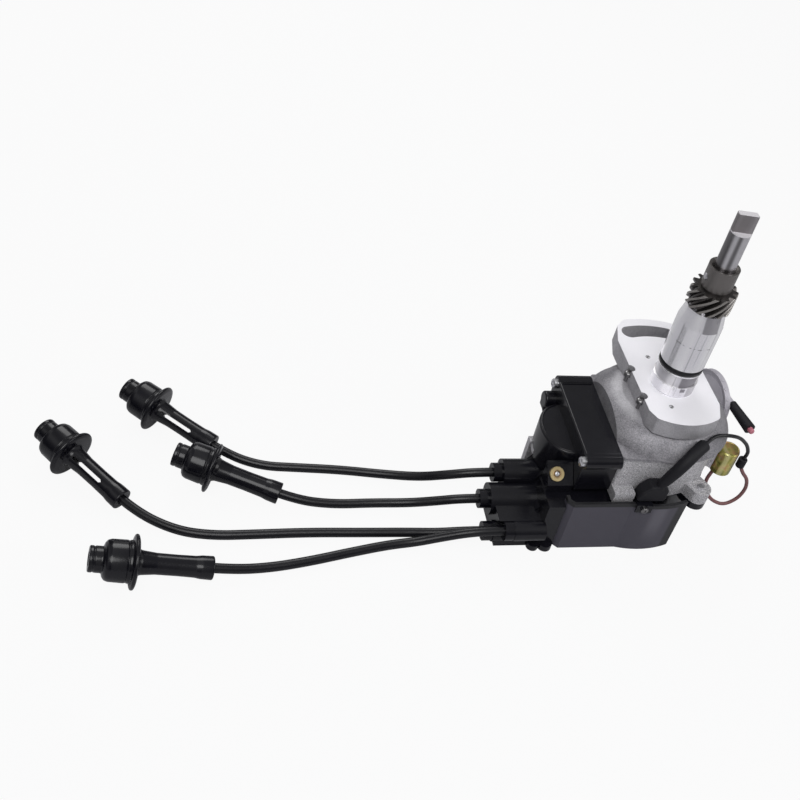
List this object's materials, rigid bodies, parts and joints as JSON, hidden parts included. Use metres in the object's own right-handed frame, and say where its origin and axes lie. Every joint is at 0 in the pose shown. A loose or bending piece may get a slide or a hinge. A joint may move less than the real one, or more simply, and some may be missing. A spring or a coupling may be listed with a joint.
{
  "type": "ignition distributor",
  "caption": "Ignition distributor with drive gear, slotted flange, built-in coil, vacuum advance, condenser and four plug leads with flanged boots.",
  "frame": {"origin": "on the shaft axis, in the plane of the flange face that seats on the engine", "axes": "+Z along the shaft towards the drive gear, -X the side where the plug leads leave, +Y towards the slotted lobe of the flange"},
  "size_m": [0.5341, 0.1859, 0.258],
  "materials": {
    "cast_aluminium": "satin",
    "machined_steel": "satin",
    "dark_steel": "satin",
    "zinc_screw": "gloss",
    "brass": "satin",
    "bronze": "satin",
    "black_resin": "satin",
    "grey_shield": "satin",
    "inner_resin": "matt",
    "black_rubber": "matt",
    "silicone_lead": "satin",
    "passivated_zinc": "gloss",
    "plated_steel": "satin",
    "copper_winding": "satin",
    "brown_wire": "satin",
    "pink_plug": "matt",
    "carbon": "matt"
  },
  "bodies": {
    "distributor": {"thrust_washer": "machined_steel", "housing": "cast_aluminium", "pilot_o_ring": "black_rubber", "upper_bush": "bronze", "lower_bush": "bronze", "pocket_screws": "zinc_screw", "base_plate": "plated_steel", "canister_inner": "plated_steel", "canister_outer": "plated_steel", "vacuum_spring": "machined_steel", "vacuum_port": "plated_steel", "vacuum_hose": "black_rubber", "hose_plug": "pink_plug", "distributor_cap": "black_resin", "cap_electrodes": "brass", "centre_brush": "carbon", "brush_spring": "machined_steel", "tower_seals": "black_rubber", "coil_cover": "black_resin", "cover_screws": "zinc_screw", "coil_core": "dark_steel", "coil_winding": "copper_winding", "coil_connector": "black_resin", "terminal_insert": "brass", "splash_shield": "grey_shield", "condenser_can": "passivated_zinc", "condenser_bracket": "plated_steel", "cap_screws": "zinc_screw", "igniter": "inner_resin", "plug_boot_1": "black_rubber", "plug_boot_2": "black_rubber", "plug_boot_3": "black_rubber", "plug_boot_4": "black_rubber", "plug_lead_1": "silicone_lead", "plug_lead_2": "silicone_lead", "plug_lead_3": "silicone_lead", "plug_lead_4": "silicone_lead", "harness_sleeve": "silicone_lead", "sleeve_grommet": "black_rubber", "condenser_wire_black": "silicone_lead", "condenser_wire_brown": "brown_wire", "wire_splice": "black_rubber", "shield_clip": "black_resin", "clip_screw": "zinc_screw"},
    "drive_line": {"drive_shaft": "machined_steel", "drive_gear": "dark_steel", "gear_pin": "machined_steel", "governor_plate": "machined_steel"},
    "advance_cam": {"cam_sleeve": "machined_steel", "signal_rotor": "dark_steel", "rotor_arm": "inner_resin", "rotor_blade": "brass"},
    "weight_left": {"governor_weight_left": "dark_steel"},
    "weight_right": {"governor_weight_right": "dark_steel"},
    "breaker": {"breaker_plate": "plated_steel", "pickup_coil": "inner_resin"},
    "vacuum_slide": {"vacuum_rod": "machined_steel", "diaphragm": "black_rubber"}
  },
  "joints": [
    {"name": "shaft_spin", "type": "hinge", "parent": "distributor", "child": "drive_line", "pos_m": [0, 0, 0], "axis": [0, 0, 1], "continuous": true},
    {"name": "advance_turn", "type": "hinge", "parent": "drive_line", "child": "advance_cam", "pos_m": [0, 0, 0], "axis": [0, 0, 1], "range_deg": [0, 12]},
    {"name": "weight_left_swing", "type": "hinge", "parent": "drive_line", "child": "weight_left", "pos_m": [0, -0.019, 0], "axis": [0, 0, 1], "range_deg": [0, 12]},
    {"name": "weight_right_swing", "type": "hinge", "parent": "drive_line", "child": "weight_right", "pos_m": [0, 0.019, 0], "axis": [0, 0, 1], "range_deg": [0, 12]},
    {"name": "breaker_turn", "type": "hinge", "parent": "distributor", "child": "breaker", "pos_m": [0, 0, 0], "axis": [0, 0, 1], "range_deg": [-8.5, 0]},
    {"name": "vacuum_pull", "type": "slide", "parent": "distributor", "child": "vacuum_slide", "axis": [0.9903, 0.1392, 0], "range_m": [0, 0.0034], "deforming": ["vacuum_spring"]}
  ],
  "couplings": [
    {"joint": "weight_left_swing", "follows": "advance_turn", "ratio": 1},
    {"joint": "weight_right_swing", "follows": "advance_turn", "ratio": 1},
    {"joint": "breaker_turn", "follows": "vacuum_pull", "rad_per_m": -41.667}
  ]
}
